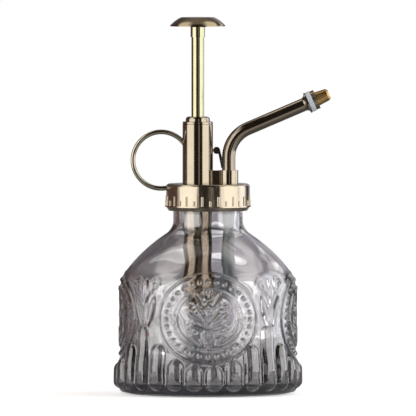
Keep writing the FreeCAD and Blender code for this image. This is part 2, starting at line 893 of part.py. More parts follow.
# The ring is turned about an axis that lies along Y, so its own z is the frame's -Y and its own y is up.
ring = piece("finger_ring", "ring_x")
ring.Placement = FreeCAD.Placement(FreeCAD.Vector(), FreeCAD.Rotation(FreeCAD.Vector(1, 0, 0), 90))
ring.setExpression("Placement.Base.x", bound("ring_x"))
ring.setExpression("Placement.Base.z", bound("ring_z"))
turned(
    ring,
    "ring_strip",
    [
        ("ring_mid_r - ring_half_thick + ring_round", "-ring_half_width"),
        ("ring_mid_r + ring_half_thick - ring_round", "-ring_half_width"),
        ("ring_mid_r + ring_half_thick", "ring_round - ring_half_width"),
        ("ring_mid_r + ring_half_thick", "ring_half_width - ring_round"),
        ("ring_mid_r + ring_half_thick - ring_round", "ring_half_width"),
        ("ring_mid_r - ring_half_thick + ring_round", "ring_half_width"),
        ("ring_mid_r - ring_half_thick", "ring_half_width - ring_round"),
        ("ring_mid_r - ring_half_thick", "ring_round - ring_half_width"),
    ],
    {1: ("ring_round", 1), 3: ("ring_round", 1), 5: ("ring_round", 1), 7: ("ring_round", 1)},
)
bored(ring, "barrel_saddle", "pump_x - ring_x", "0", "barrel_r + fit_gap", "20", "40", "XZ_Plane")
bored(ring, "cap_saddle", "-ring_x", "0", "cap_r + fit_gap", "20", "20 + cap_top_z - ring_z", "XZ_Plane")
bored(ring, "cap_clearance", "-ring_x", "0", "cap_r - 1.8", "20", "24.2 + cap_top_z - ring_z", "XZ_Plane")

brace = piece("spout_brace")
padded(
    brace,
    "brace_leg",
    [
        ("bead_x + 0.5", "bead_z"),
        ("spout_x - spout_r - fit_gap - 0.3", "brace_low_z"),
        ("spout_x - spout_r - fit_gap", "brace_low_z"),
        ("spout_x - spout_r - fit_gap", "brace_high_z"),
        ("bead_x + bead_r", "bead_z"),
    ],
    "brace_width",
)
bead = feature(
    brace, "Pad", "brace_bead", circles(brace, "bead_outline", "XZ_Plane", "bead_x", "bead_z", ["bead_r"])
)
bead.SideType = "Symmetric"
bead.setExpression("Length", bound("brace_width"))

# ---- check and export ---------------------------------------------------------------------------

document.recompute()
for entry in document.Objects:
    if "Invalid" in entry.State or "Error" in entry.State:
        raise RuntimeError(f"{entry.Label} did not build: {entry.State}")

os.makedirs("parts", exist_ok=True)
for node, body in pieces.items():
    shape = body.Shape
    if shape.isNull() or not shape.isValid() or len(shape.Solids) != 1:
        raise RuntimeError(f"{node} is not one valid solid")
    shape.exportStep(f"parts/{node}.step")
    box = shape.optimalBoundingBox()
    print(f"{node:16s} {shape.Volume:10.2f}  z {box.ZMin:8.3f} {box.ZMax:8.3f}  x {box.XMin:8.3f} {box.XMax:8.3f}")
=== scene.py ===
import bpy
import json
import math
import numpy as np
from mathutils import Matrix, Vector

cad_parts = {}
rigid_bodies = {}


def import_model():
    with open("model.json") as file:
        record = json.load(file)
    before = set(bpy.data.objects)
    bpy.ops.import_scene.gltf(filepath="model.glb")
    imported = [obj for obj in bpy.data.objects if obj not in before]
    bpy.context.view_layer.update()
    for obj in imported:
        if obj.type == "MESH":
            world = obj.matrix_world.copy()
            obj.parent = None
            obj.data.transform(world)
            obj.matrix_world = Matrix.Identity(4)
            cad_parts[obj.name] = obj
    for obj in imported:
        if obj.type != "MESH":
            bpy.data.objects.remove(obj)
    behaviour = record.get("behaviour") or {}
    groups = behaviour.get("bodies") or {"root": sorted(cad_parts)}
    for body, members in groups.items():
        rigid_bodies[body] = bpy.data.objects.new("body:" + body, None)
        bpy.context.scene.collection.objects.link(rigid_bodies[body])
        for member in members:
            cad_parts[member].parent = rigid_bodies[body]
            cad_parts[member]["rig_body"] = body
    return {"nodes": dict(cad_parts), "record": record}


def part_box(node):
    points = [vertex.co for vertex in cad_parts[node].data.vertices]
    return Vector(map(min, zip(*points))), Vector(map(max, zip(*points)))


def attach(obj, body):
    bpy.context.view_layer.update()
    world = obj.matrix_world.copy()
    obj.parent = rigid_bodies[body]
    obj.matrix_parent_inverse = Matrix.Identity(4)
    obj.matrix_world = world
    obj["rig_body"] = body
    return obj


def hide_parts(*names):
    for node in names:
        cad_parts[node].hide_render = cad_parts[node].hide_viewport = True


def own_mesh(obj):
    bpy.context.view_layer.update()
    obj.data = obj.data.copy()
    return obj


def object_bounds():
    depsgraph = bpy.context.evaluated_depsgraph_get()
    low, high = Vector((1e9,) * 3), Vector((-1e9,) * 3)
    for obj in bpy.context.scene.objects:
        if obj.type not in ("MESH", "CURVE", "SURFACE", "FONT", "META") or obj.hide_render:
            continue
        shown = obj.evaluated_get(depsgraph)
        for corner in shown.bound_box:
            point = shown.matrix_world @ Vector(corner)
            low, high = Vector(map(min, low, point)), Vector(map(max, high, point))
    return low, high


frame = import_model()
cad_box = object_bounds()

MM = 0.001
nodes = frame["nodes"]


# ---- places read from the frame ------------------------------------------------------------------

def axis_of(node):
    """(x, y) of the middle of a round CAD piece that stands upright."""
    low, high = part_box(node)
    return (low[0] + high[0]) / 2, (low[1] + high[1]) / 2


PUMP_X, _ = axis_of("pump_barrel")
SPOUT_X, _ = axis_of("delivery_tube")
FLOOR_LEVEL = cad_box[0][2]

# The sloping end of the spout: where its axis meets the upright's, its slope, and how far along it the
# nozzle's knurled collar ends.
BEND_Z = 115.3 * MM
SPOUT_RISE = math.radians(23.2)
COLLAR_END = 43.1 * MM


# ---- camera, floor and light ----------------------------------------------------------------------

CAMERA_DISTANCE = 6.0
CAMERA_ELEVATION = math.radians(2.0)
PICTURE_WIDTH = 0.18687
AIM = Vector((0.0, 0.0, 0.0833))


def add_camera():
    """A long lens from the front, looking slightly down."""
    data = bpy.data.cameras.new("camera")
    data.sensor_width = 36.0
    data.lens = 36.0 * CAMERA_DISTANCE / PICTURE_WIDTH
    data.clip_end = 100.0
    camera = bpy.data.objects.new("camera", data)
    back = Vector((0.0, -math.cos(CAMERA_ELEVATION), math.sin(CAMERA_ELEVATION)))
    camera.location = AIM + back * CAMERA_DISTANCE
    camera.rotation_euler = (-back).to_track_quat("-Z", "Y").to_euler()
    bpy.context.scene.collection.objects.link(camera)
    bpy.context.scene.camera = camera


class Graph:
    """Short calls for building a node tree."""

    def __init__(self, tree):
        self.tree = tree

    def add(self, kind, inputs=None, **settings):
        node = self.tree.nodes.new(kind)
        for key, value in settings.items():
            setattr(node, key, value)
        for key, value in (inputs or {}).items():
            self.put(node.inputs[key], value)
        return node

    def put(self, socket, value):
        if isinstance(value, bpy.types.NodeSocket):
            self.tree.links.new(value, socket)
        else:
            socket.default_value = value

    def math(self, operation, *values):
        return self.add("ShaderNodeMath", dict(enumerate(values)), operation=operation).outputs[0]

    def ramp(self, value, low, high, out_low=0.0, out_high=1.0):
        """Smoothly takes value from low..high to out_low..out_high."""
        inputs = {"Value": value, "From Min": low, "From Max": high, "To Min": out_low, "To Max": out_high}
        return self.add("ShaderNodeMapRange", inputs, interpolation_type="SMOOTHSTEP").outputs[0]

    def window(self, value, low, high, soft):
        """1 between low and high, falling to 0 over soft outside them."""
        rising = self.ramp(value, low - soft, low)
        falling = self.ramp(value, high, high + soft, 1.0, 0.0)
        return self.math("MULTIPLY", rising, falling)

    def noise(self, place, scale, detail):
        inputs = {"Vector": place, "Scale": scale, "Detail": detail}
        return self.add("ShaderNodeTexNoise", inputs).outputs["Fac"]

    def mix(self, factor, first, second):
        """Mixes two colours: a Mix node's colour sockets are its inputs 6 and 7 and its output 2."""
        inputs = {"Factor": factor, 6: first, 7: second}
        return self.add("ShaderNodeMix", inputs, data_type="RGBA").outputs[2]

    def mix_values(self, factor, first, second):
        """Mixes two numbers: a Mix node's number sockets are its inputs 2 and 3 and its output 0."""
        inputs = {"Factor": factor, 2: first, 3: second}
        return self.add("ShaderNodeMix", inputs, data_type="FLOAT").outputs[0]


# Soft panels: azimuth of the two sides in degrees, height of the two ends, how far the sides (in degrees)
# and ends fade out, and colour. Azimuth is 0 at the front and positive towards +X; height is the sine of
# elevation.
LEFT_GLOW = (-150, -90, -0.5, 0.45, 7.0, 0.12, (0.17, 0.105, 0.09, 1))
PANELS = (
    (7, 13, -0.35, 0.5, 3.0, 0.12, (0.5, 0.48, 0.44, 1)),
    (-84, -33, -0.35, 0.55, 7.0, 0.12, (2.6, 2.55, 2.47, 1)),
    (-82, -62, 0.5, 0.76, 10.0, 0.1, (2.2, 2.15, 2.05, 1)),
    (40, 88, -0.35, 0.55, 7.0, 0.12, (2.6, 2.57, 2.5, 1)),
    (56, 86, 0.5, 0.76, 10.0, 0.1, (2.3, 2.25, 2.15, 1)),
    (99, 124, -0.35, 0.55, 7.0, 0.12, (2.5, 2.55, 2.65, 1)),
    (-130, -88, 0.76, 0.92, 12.0, 0.07, (1.9, 1.8, 1.65, 1)),
    (88, 135, 0.74, 0.92, 12.0, 0.07, (2.0, 1.9, 1.75, 1)),
    (140, 150, 0.38, 0.48, 6.0, 0.07, (1.8, 1.75, 1.7, 1)),
)


def add_world():
    """A studio: soft panels at the sides and overhead, a grey wall behind and a dim room."""
    world = bpy.data.worlds.new("studio")
    bpy.context.scene.world = world
    world.use_nodes = True
    world.node_tree.nodes.clear()
    graph = Graph(world.node_tree)
    direction = graph.add("ShaderNodeTexCoord").outputs["Generated"]
    x, y, height = graph.add("ShaderNodeSeparateXYZ", {0: direction}).outputs
    azimuth = graph.math("ARCTAN2", x, graph.math("MULTIPLY", y, -1.0))
    behind = graph.math("ABSOLUTE", azimuth)
    degree = math.radians(1.0)

    def lit(shade, panel):
        left, right, low, high, soft_sides, soft_ends, color = panel
        across = graph.window(azimuth, left * degree, right * degree, soft_sides * degree)
        share = graph.math("MULTIPLY", across, graph.window(height, low, high, soft_ends))
        return graph.mix(share, shade, color)

    room = (0.038, 0.028, 0.023, 1)
    ceiling = graph.math("MULTIPLY", graph.ramp(height, 0.45, 0.95), graph.ramp(behind, 1.2, 2.2))
    shade = lit(graph.mix(ceiling, room, (0.42, 0.39, 0.36, 1)), LEFT_GLOW)

    level = graph.window(height, -0.15, 0.05, 0.08)
    dark_side = graph.mix(level, (0.15, 0.135, 0.145, 1), (0.32, 0.30, 0.31, 1))
    wall_color = graph.mix(graph.ramp(x, -0.012, 0.008), dark_side, (0.47, 0.45, 0.49, 1))
    wall_across = graph.ramp(behind, 142 * degree, 158 * degree)
    wall = graph.math("MULTIPLY", wall_across, graph.window(height, -0.3, 0.5, 0.2))
    shade = graph.mix(wall, shade, wall_color)
    for panel in PANELS:
        shade = lit(shade, panel)

    seen = graph.add("ShaderNodeLightPath").outputs["Is Camera Ray"]
    color = graph.mix(seen, shade, (1, 1, 1, 1))
    background = graph.add("ShaderNodeBackground", {"Color": color, "Strength": 1.0})
    graph.add("ShaderNodeOutputWorld", {"Surface": background.outputs[0]})
    world.cycles.sampling_method = "MANUAL"
    world.cycles.sample_map_resolution = 1024


def plane(name, low, high):
    mesh = bpy.data.meshes.new(name)
    corners = [(low[0], low[1], 0), (high[0], low[1], 0), (high[0], high[1], 0), (low[0], high[1], 0)]
    mesh.from_pydata(corners, [], [(0, 1, 2, 3)])
    made = bpy.data.objects.new(name, mesh)
    bpy.context.scene.collection.objects.link(made)
    return made


def add_floor():
    """A pale table top, seen white by the eye; the glass and metal see painted light on it: a painted glow,
    dimmer near the object under a painted shadow, with painted shade to the sides and a darker copy of its
    colour.
    """
    table = plane("floor", (-0.4, -0.35), (0.4, 1.5))
    table.location.z = FLOOR_LEVEL - 0.2 * MM
    material, graph, shader = new_material("pale_table_painted_glow")
    direct = graph.add("ShaderNodeLightPath").outputs["Is Camera Ray"]
    place = graph.add("ShaderNodeTexCoord").outputs["Object"]
    across, depth, _ = graph.add("ShaderNodeSeparateXYZ", {0: place}).outputs
    distance = graph.add("ShaderNodeVectorMath", {0: place}, operation="LENGTH").outputs["Value"]
    # Painted light: the glow the glass and metal see is painted. It has a painted shadow round and under
    # the object, painted shade on the left and far right, and is brighter far behind.
    before = graph.ramp(depth, -0.03, 0.06, 0.6, 0.0)
    front = graph.math("MULTIPLY", before, graph.ramp(distance, 0.05, 0.25))
    left_painted_shade = graph.ramp(across, -0.06, 0.01, 0.45, 1.0)
    middle = graph.math("MULTIPLY", left_painted_shade, graph.ramp(across, 0.03, 0.15, 1.0, 0.5))
    rising = graph.ramp(depth, 0.15, 0.95, 0.12, 1.35)
    away = graph.math("MULTIPLY", rising, graph.ramp(depth, 0.9, 1.25, 1.0, 0.65))
    back = graph.math("MULTIPLY", away, middle)
    glow = graph.mix_values(direct, graph.math("ADD", front, back), 0.5)
    # Painted shade: rays other than the eye's see a dark copy of the table colour.
    graph.put(shader.inputs["Base Color"], graph.mix(direct, (0.12, 0.12, 0.125, 1), (0.92, 0.92, 0.92, 1)))
    graph.put(shader.inputs["Emission Strength"], glow)
    shader.inputs["Emission Color"].default_value = (1, 1, 1, 1)
    shader.inputs["Roughness"].default_value = 0.55
    shader.inputs["Specular IOR Level"].default_value = 0.2
    table.data.materials.append(material)


# ---- materials ------------------------------------------------------------------------------------

def new_material(name):
    material = bpy.data.materials.new(name)
    material.use_nodes = True
    graph = Graph(material.node_tree)
    return material, graph, material.node_tree.nodes["Principled BSDF"]


def metal(name, color, rough, grain=0.0):
    """Plated or bare metal, a little cloudy; grain draws its upright polishing lines."""
    material, graph, shader = new_material(name)
    place = graph.add("ShaderNodeTexCoord").outputs["Object"]
    if grain:
        drawn = graph.add("ShaderNodeMapping", {"Vector": place, "Scale": (1.0, 1.0, 0.04)}).outputs[0]
        lines = graph.noise(drawn, 700.0, 3.0)
        brushed = graph.add("ShaderNodeBump", {"Height": lines, "Strength": grain, "Distance": 0.2 * MM})
        graph.put(shader.inputs["Normal"], brushed.outputs[0])
    cloud = graph.noise(place, 90.0, 4.0)
    darker = tuple(c * 0.9 for c in color) + (1,)
    graph.put(shader.inputs["Base Color"], graph.mix(graph.ramp(cloud, 0.35, 0.7), darker, color + (1,)))
    graph.put(shader.inputs["Roughness"], graph.ramp(cloud, 0.3, 0.75, rough, rough + 0.06))
    shader.inputs["Metallic"].default_value = 1.0
    return material


def plastic(name, color, rough, transmission=0.0):
    """Plastic or rubber, faintly mottled; transmission makes it let light through."""
    material, graph, shader = new_material(name)
    place = graph.add("ShaderNodeTexCoord").outputs["Object"]
    cloud = graph.noise(place, 300.0, 3.0)
    darker = tuple(c * 0.93 for c in color) + (1,)
    graph.put(shader.inputs["Base Color"], graph.mix(cloud, darker, color + (1,)))
    graph.put(shader.inputs["Roughness"], graph.ramp(cloud, 0.3, 0.7, rough, rough + 0.08))
    shader.inputs["Transmission Weight"].default_value = transmission
    return material


def nozzle_brass(name):
    """Orange-brown brass on the tip and duller brass on its knurled collar."""
    material, graph, shader = new_material(name)
    place = graph.add("ShaderNodeTexCoord").outputs["Object"]
    x, _, z = graph.add("ShaderNodeSeparateXYZ", {0: place}).outputs
    outward = graph.math("MULTIPLY", graph.math("SUBTRACT", x, SPOUT_X), math.cos(SPOUT_RISE))
    upward = graph.math("MULTIPLY", graph.math("SUBTRACT", z, BEND_Z), math.sin(SPOUT_RISE))
    tip = graph.ramp(graph.math("ADD", outward, upward), COLLAR_END - 0.1 * MM, COLLAR_END + 0.1 * MM)
    cloud = graph.noise(place, 260.0, 3.0)
    bright = graph.mix(graph.ramp(cloud, 0.35, 0.65), (0.33, 0.20, 0.07, 1), (0.47, 0.31, 0.12, 1))
    graph.put(shader.inputs["Base Color"], graph.mix(tip, (0.33, 0.265, 0.19, 1), bright))
    graph.put(shader.inputs["Roughness"], graph.ramp(cloud, 0.3, 0.7, 0.24, 0.36))
    shader.inputs["Metallic"].default_value = 1.0
    return material


def foot_valve(name):
    """Brass below the pump, grey plastic on the arm to the delivery tube."""
    material, graph, shader = new_material(name)
    place = graph.add("ShaderNodeTexCoord").outputs["Object"]
    across = graph.add("ShaderNodeSeparateXYZ", {0: place}).outputs["X"]
    cloud = graph.noise(place, 90.0, 4.0)
    arm = graph.ramp(across, PUMP_X + 6.8 * MM, PUMP_X + 7.2 * MM)
    brass = graph.mix(cloud, (0.29, 0.235, 0.17, 1), (0.35, 0.285, 0.21, 1))
    graph.put(shader.inputs["Base Color"], graph.mix(arm, brass, (0.42, 0.45, 0.48, 1)))
    graph.put(shader.inputs["Metallic"], graph.math("SUBTRACT", 1.0, arm))
    graph.put(shader.inputs["Transmission Weight"], graph.math("MULTIPLY", arm, 0.6))
    graph.put(shader.inputs["Roughness"], graph.ramp(cloud, 0.3, 0.7, 0.12, 0.2))
    return material


def glass(name):
    """Grey pressed glass: a little colour at the skin, darker round the foot, and more colour through the
    thickness.

    The coat gives the relief and the neck a stronger reflection than the plain shoulder.
    """
    material, graph, shader = new_material(name)
    place = graph.add("ShaderNodeTexCoord").outputs["Object"]
    cloud = graph.noise(place, 45.0, 2.0)
    height = graph.add("ShaderNodeSeparateXYZ", {0: place}).outputs["Z"]
    clear = graph.mix(cloud, (0.93, 0.92, 0.93, 1), (0.955, 0.95, 0.96, 1))
    # The glass colour is darker round the foot, below 10.5 to 15.5 mm up.
    darker_at_foot = graph.mix(cloud, (0.76, 0.75, 0.765, 1), (0.79, 0.785, 0.80, 1))
    above_foot = graph.ramp(height, 10.5 * MM, 15.5 * MM)
    graph.put(shader.inputs["Base Color"], graph.mix(above_foot, darker_at_foot, clear))
    ripple = graph.add("ShaderNodeBump", {"Height": cloud, "Strength": 0.12, "Distance": 0.6 * MM})
    graph.put(shader.inputs["Normal"], ripple.outputs[0])
    shader.inputs["Roughness"].default_value = 0.0
    shader.inputs["IOR"].default_value = 1.5
    shader.inputs["Transmission Weight"].default_value = 1.0
    shoulder = graph.ramp(height, 54 * MM, 60 * MM, 1.0, 0.15)
    lower = graph.math("MULTIPLY", shoulder, graph.ramp(height, 22 * MM, 32 * MM, 1.0, 0.62))
    neck = graph.window(height, 75.5 * MM, 80.3 * MM, 1.5 * MM)
    graph.put(shader.inputs["Coat Weight"], graph.math("MAXIMUM", lower, neck))
    shader.inputs["Coat IOR"].default_value = 1.72
    smoke = graph.add("ShaderNodeVolumeAbsorption", {"Color": (0.09, 0.07, 0.13, 1), "Density": 36.0})
    graph.put(material.node_tree.nodes["Material Output"].inputs["Volume"], smoke.outputs[0])
    return material


PLATE = metal("plated_brass", (0.335, 0.29, 0.222), 0.09)
# Painted light: the cap is the plated brass with a lighter base colour standing in for its brighter
# highlights. Its satin roughness and upright grain are real.
CAP_PLATE_PAINTED_LIGHTER = metal("cap_plate_painted_lighter", (0.42, 0.365, 0.285), 0.16, 0.4)
# Painted shade: the button is the plated brass, warmer in hue, with a darker base colour standing in for
# the shade on its top.
BUTTON_PLATE_PAINTED_DARKER = metal("button_plate_painted_darker", (0.29, 0.24, 0.16), 0.1)
# Painted light: the ring is a copy of the plated metal, lighter, standing in for the bright highlights on
# its flanks.
RING_PLATE_PAINTED_LIGHTER = metal("ring_plate_painted_lighter", (0.38, 0.345, 0.275), 0.12)
INNER = metal("inner_plate", (0.28, 0.232, 0.175), 0.13)
YELLOW = metal("yellow_brass", (0.42, 0.40, 0.26), 0.08)
BRONZE = metal("bronze_plate", (0.25, 0.21, 0.165), 0.12)
TIP = nozzle_brass("tip_brass")
STEEL = metal("steel", (0.5, 0.5, 0.52), 0.2)
WHITE = plastic("white_plastic", (0.52, 0.575, 0.63), 0.35)
CLEAR = plastic("clear_plastic", (0.40, 0.46, 0.50), 0.16, 0.25)
FOOT = foot_valve("foot_valve")
RUBBER = plastic("rubber", (0.03, 0.03, 0.03), 0.6)
GLASS = glass("bottle_glass")

FINISH = {
    "clear_glass": GLASS,
    "plated_brass": PLATE,
    "yellow_brass": YELLOW,
    "bronze_plate": BRONZE,
    "tip_brass": TIP,
    "white_plastic": WHITE,
    "clear_plastic": CLEAR,
    "seal_rubber": RUBBER,
    "spring_steel": STEEL,
    "ball_steel": STEEL,
}
OWN_FINISH = {
    "screw_cap": CAP_PLATE_PAINTED_LIGHTER,
    "thumb_button": BUTTON_PLATE_PAINTED_DARKER,
    "finger_ring": RING_PLATE_PAINTED_LIGHTER,
    "pump_cylinder": INNER,
    "valve_block": FOOT,
}
for part in frame["record"]["subparts"]:
    slots = nodes[part["node"]].data.materials
    slots.clear()
    slots.append(OWN_FINISH.get(part["node"], FINISH[part["material_slot"]]))


# ---- pressed glass bottle --------------------------------------------------------------------------

# Lengths here are in millimetres. azimuth is measured from the front (-Y) towards +X. u runs round the
# bottle and v up it, from the middle of a medallion.
FINE = 560  # points round each row of the relief
WRAP_RADIUS = 40.4
RELIEF_LOW = 0.9
RELIEF_HIGH = 57.0
RELIEF_ROWS = 120
MEDALLION_Z = 34.8
RIM = (23.5, 20.2)
BEAD_ROW = (20.0, 16.7)
BEADS = 32
FLUTES = 28
FLUTE_TOPS = (14.3, 16.7, 23.5, 31.8)  # from under a medallion to between two
FLUTE_FOOT = 5.4
FLUTE_TURN = math.radians(2.6)
FLUTE_HALF = 3.75
THREAD_Z = 83.9
THREAD_PITCH = 3.0
THREAD_TURNS = 1.25
THREAD_DEPTH = 0.9
THREAD_HALF = 0.595
THREAD_FLANK = 3.7
NECK_R = 15.6
MOUTH_R = 13.2
LIP_Z = 90.2
INSIDE_FLOOR = 5.0


def arc(start, stop, radius, side, steps):
    """Points after start, up to stop, of an arc; side is +1 for a centre left of its run, -1 for right."""
    (x0, y0), (x1, y1) = start, stop
    length = math.hypot(x1 - x0, y1 - y0)
    rise = math.sqrt(radius ** 2 - length ** 2 / 4) * side
    centre_x = (x0 + x1) / 2 - (y1 - y0) / length * rise
    centre_y = (y0 + y1) / 2 + (x1 - x0) / length * rise
    first = math.atan2(y0 - centre_y, x0 - centre_x)
    turn = 2 * math.asin(length / 2 / radius) * side
    angles = [first + turn * step / steps for step in range(1, steps + 1)]
    return [(centre_x + radius * math.cos(angle), centre_y + radius * math.sin(angle)) for angle in angles]


def line(start, stop, steps):
    share = [step / steps for step in range(1, steps + 1)]
    return [(start[0] + (stop[0] - start[0]) * s, start[1] + (stop[1] - start[1]) * s) for s in share]


def ridge(distance, half_width, height):
    """A rounded rib: its height over a line, from the distance to that line."""
    return height * np.clip(1 - (distance / half_width) ** 2, 0, 1) ** 0.8


def bump(u, v, radius, height):
    """A round bead."""
    return height * np.clip(1 - (u ** 2 + v ** 2) / radius ** 2, 0, 1) ** 0.7


def oval(u, v, half_u, half_v):
    """Distance from the ellipse, negative inside it."""
    level = np.sqrt((u / half_u) ** 2 + (v / half_v) ** 2) + 1e-9
    slope = np.sqrt((u / half_u ** 2) ** 2 + (v / half_v ** 2) ** 2) / level + 1e-9
    return (level - 1) / slope


def leaf(u, v, foot_u, foot_v, lean, length, width, height):
    """A pointed leaf with a raised vein; lean is its angle from straight up, towards +u."""
    along = ((u - foot_u) * math.sin(lean) + (v - foot_v) * math.cos(lean)) / length
    across = (u - foot_u) * math.cos(lean) - (v - foot_v) * math.sin(lean)
    half = width * np.sin(np.pi * np.clip(along, 0, 1)) ** 0.7 + 1e-6
    blade = np.clip(1 - np.abs(across) / half, 0, 1) * ((along > 0) & (along < 1))
    return height * np.minimum(blade * 1.8, 0.7 + 0.3 * blade)


def rosette(u, v, centre_u, centre_v, radius, petals, height):
    """A flower of hollowed petals round a bead."""
    du, dv = u - centre_u, v - centre_v
    reach = np.hypot(du, dv) / radius
    lobes = 0.72 + 0.28 * np.cos(petals * np.arctan2(du, dv))
    petal = height * np.clip(1 - (reach / lobes) ** 2, 0, 1) ** 0.6 * (0.55 + 0.45 * reach)
    return np.maximum(petal, bump(du, dv, radius * 0.33, height * 0.95))


def bouquet(u, v):
    """Flowers and leaves standing in a ribbed vase."""
    side = np.abs(u)
    vase_v = (-12.2, -11.6, -10.9, -9.0, -6.6, -5.2, -4.4)
    vase_half = np.interp(v, vase_v, (2.6, 2.6, 1.1, 3.0, 3.3, 1.9, 2.6))
    inside = np.clip((vase_half - side) * 1.6, 0, 1) * ((v > vase_v[0]) & (v < vase_v[-1]))
    height = inside * (0.62 + 0.14 * np.cos(u * 2 * np.pi / 1.3))
    height = np.maximum(height, ridge(v + 12.7, 0.5, 0.6) * (side < 7.2))
    for foot_u, foot_v, lean, length, width in (
        (0.8, -4.5, 1.35, 7.6, 1.5),
        (1.2, -3.2, 0.95, 9.0, 1.5),
        (0.6, -1.5, 0.6, 9.6, 1.3),
        (3.0, -11.5, 0.85, 6.5, 1.3),
        (3.4, -9.2, 1.2, 5.6, 1.2),
        (2.0, 5.5, 0.55, 7.6, 1.2),
        (0.7, 8.0, 0.16, 5.6, 1.0),
        (5.4, 0.5, 1.0, 4.4, 1.1),
    ):
        height = np.maximum(height, leaf(side, v, foot_u, foot_v, lean, length, width, 0.62))
    for centre_u, centre_v, radius, petals in (
        (0.0, 0.6, 3.3, 6),
        (4.6, 4.5, 2.6, 5),
        (0.0, 7.9, 2.8, 5),
        (7.0, -1.2, 1.7, 5),
        (6.6, -6.2, 1.9, 5),
    ):
        height = np.maximum(height, rosette(side, v, centre_u, centre_v, radius, petals, 0.8))
    berries = (2.3, 11.4), (4.6, 8.6), (7.6, 6.9), (8.3, 2.2), (2.5, -2.6), (5.0, -3.6), (8.6, -4.0)
    for berry_u, berry_v in berries:
        height = np.maximum(height, bump(side - berry_u, v - berry_v, 0.75, 0.6))
    return height


def medallion(u, v):
    """An oval plate with a rim, a row of beads, a double inner ring and the bouquet in the middle."""
    rim = oval(u, v, *RIM)
    height = 0.3 * np.clip(-rim / 1.2, 0, 1) + ridge(rim, 0.6, 0.75)
    height += ridge(oval(u, v, 15.8, 13.4), 0.45, 0.5) + ridge(oval(u, v, 14.7, 12.3), 0.4, 0.45)
    row_u, row_v = BEAD_ROW
    beside = (np.arctan2(u / row_u, v / row_v) / (2 * np.pi) * BEADS + 0.5) % 1 - 0.5
    speed = np.hypot(row_u * v / row_v, row_v * u / row_u) / (np.hypot(u / row_u, v / row_v) + 1e-9)
    height += bump(beside * speed * 2 * np.pi / BEADS, oval(u, v, *BEAD_ROW), 0.95, 0.75)
    return height + bouquet(u, v)


def curl(u, v, centre_u, centre_v, hand):
    """A scroll that winds in one and a half turns."""
    du, dv = (u - centre_u) * hand, v - centre_v
    reach = np.hypot(du, dv)
    angle = np.arctan2(dv, du) / (2 * np.pi) % 1
    height = np.zeros_like(reach)
    for lap in (0, 1):
        turn = angle + lap
        on_line = (turn < 1.5) & (reach < 4)
        height = np.maximum(height, ridge(reach - 0.7 - 1.55 * turn, 0.5, 0.7) * on_line)
    return height


def palmette(w, z):
    """The leaves and scrolls that fill the space between two medallions; w runs from its middle line."""
    side = np.abs(w)
    height = leaf(side, z, 0.0, 41.5, 0.0, 11.2, 2.3, 0.9)
    height = np.maximum(height, leaf(side, z, 0.5, 43.0, 0.42, 8.5, 1.2, 0.7))
    height = np.maximum(height, leaf(side, z, 1.2, 31.0, 0.3, 14.5, 2.1, 0.95))
    height = np.maximum(height, leaf(side, z, 0.4, 32.0, 0.05, 9.5, 1.0, 0.7))
    height = np.maximum(height, ridge(side, 0.7, 0.7) * ((z > 31.8) & (z < 43)))
    height = np.maximum(height, ridge(side - 3.6 - 0.12 * (z - 46), 0.5, 0.6) * ((z > 46) & (z < 52.6)))
    return np.maximum(height, curl(side, z, 5.2, 50.3, -1.0))


def outside_radius(azimuth, z):
    """Radius of the pressed outer surface, on arrays of azimuth and height."""
    body = np.interp(z, BODY_Z, BODY_R)
    quarter = (azimuth + np.pi / 4) % (np.pi / 2) - np.pi / 4
    u = WRAP_RADIUS * quarter
    fade = np.clip((RELIEF_HIGH - 1.0 - z) / 2, 0, 1) * np.clip((z - 13.0) / 2, 0, 1)
    outside_rim = oval(u, z - MEDALLION_Z, *RIM)
    height = medallion(u, z - MEDALLION_Z) * (outside_rim < 0.7)
    between = WRAP_RADIUS * ((azimuth % (np.pi / 2)) - np.pi / 4)
    clear = np.clip((outside_rim - 0.6) / 0.6, 0, 1)
    height = np.maximum(height, palmette(between, z) * clear) * fade

    step = 2 * np.pi / FLUTES
    number = np.floor((azimuth + FLUTE_TURN) / step)
    across = WRAP_RADIUS * (azimuth + FLUTE_TURN - (number + 0.5) * step)
    in_quarter = FLUTES // 4
    place = number % in_quarter
    top = np.take(FLUTE_TOPS, np.minimum(place, in_quarter - 1 - place).astype(int))
    over = np.clip(z - (top - FLUTE_HALF), 0, None) + np.clip(FLUTE_FOOT - z, 0, None) * 1.3
    spread = np.clip(1 - (across ** 2 + over ** 2) / FLUTE_HALF ** 2, 0, 1) ** 0.5
    crest = np.interp(z, FLUTE_Z, FLUTE_RISE)
    return body + np.maximum(height, crest * spread)


def thread(azimuth, z):
    """Height of the neck's screw ridge, which starts over +X at THREAD_Z and climbs with azimuth."""
    height = np.zeros_like(azimuth)
    for lap in (0, 1):
        turn = (azimuth / (2 * np.pi) - 0.25) % 1 + lap
        ends = np.clip(turn * 60, 0, 1) * np.clip((THREAD_TURNS - turn) * 60, 0, 1)
        off_middle = np.abs(z - THREAD_Z - THREAD_PITCH * turn)
        flank = np.clip(THREAD_FLANK * (THREAD_HALF - off_middle), 0, THREAD_DEPTH)
        height = np.maximum(height, flank * ends)
    return height


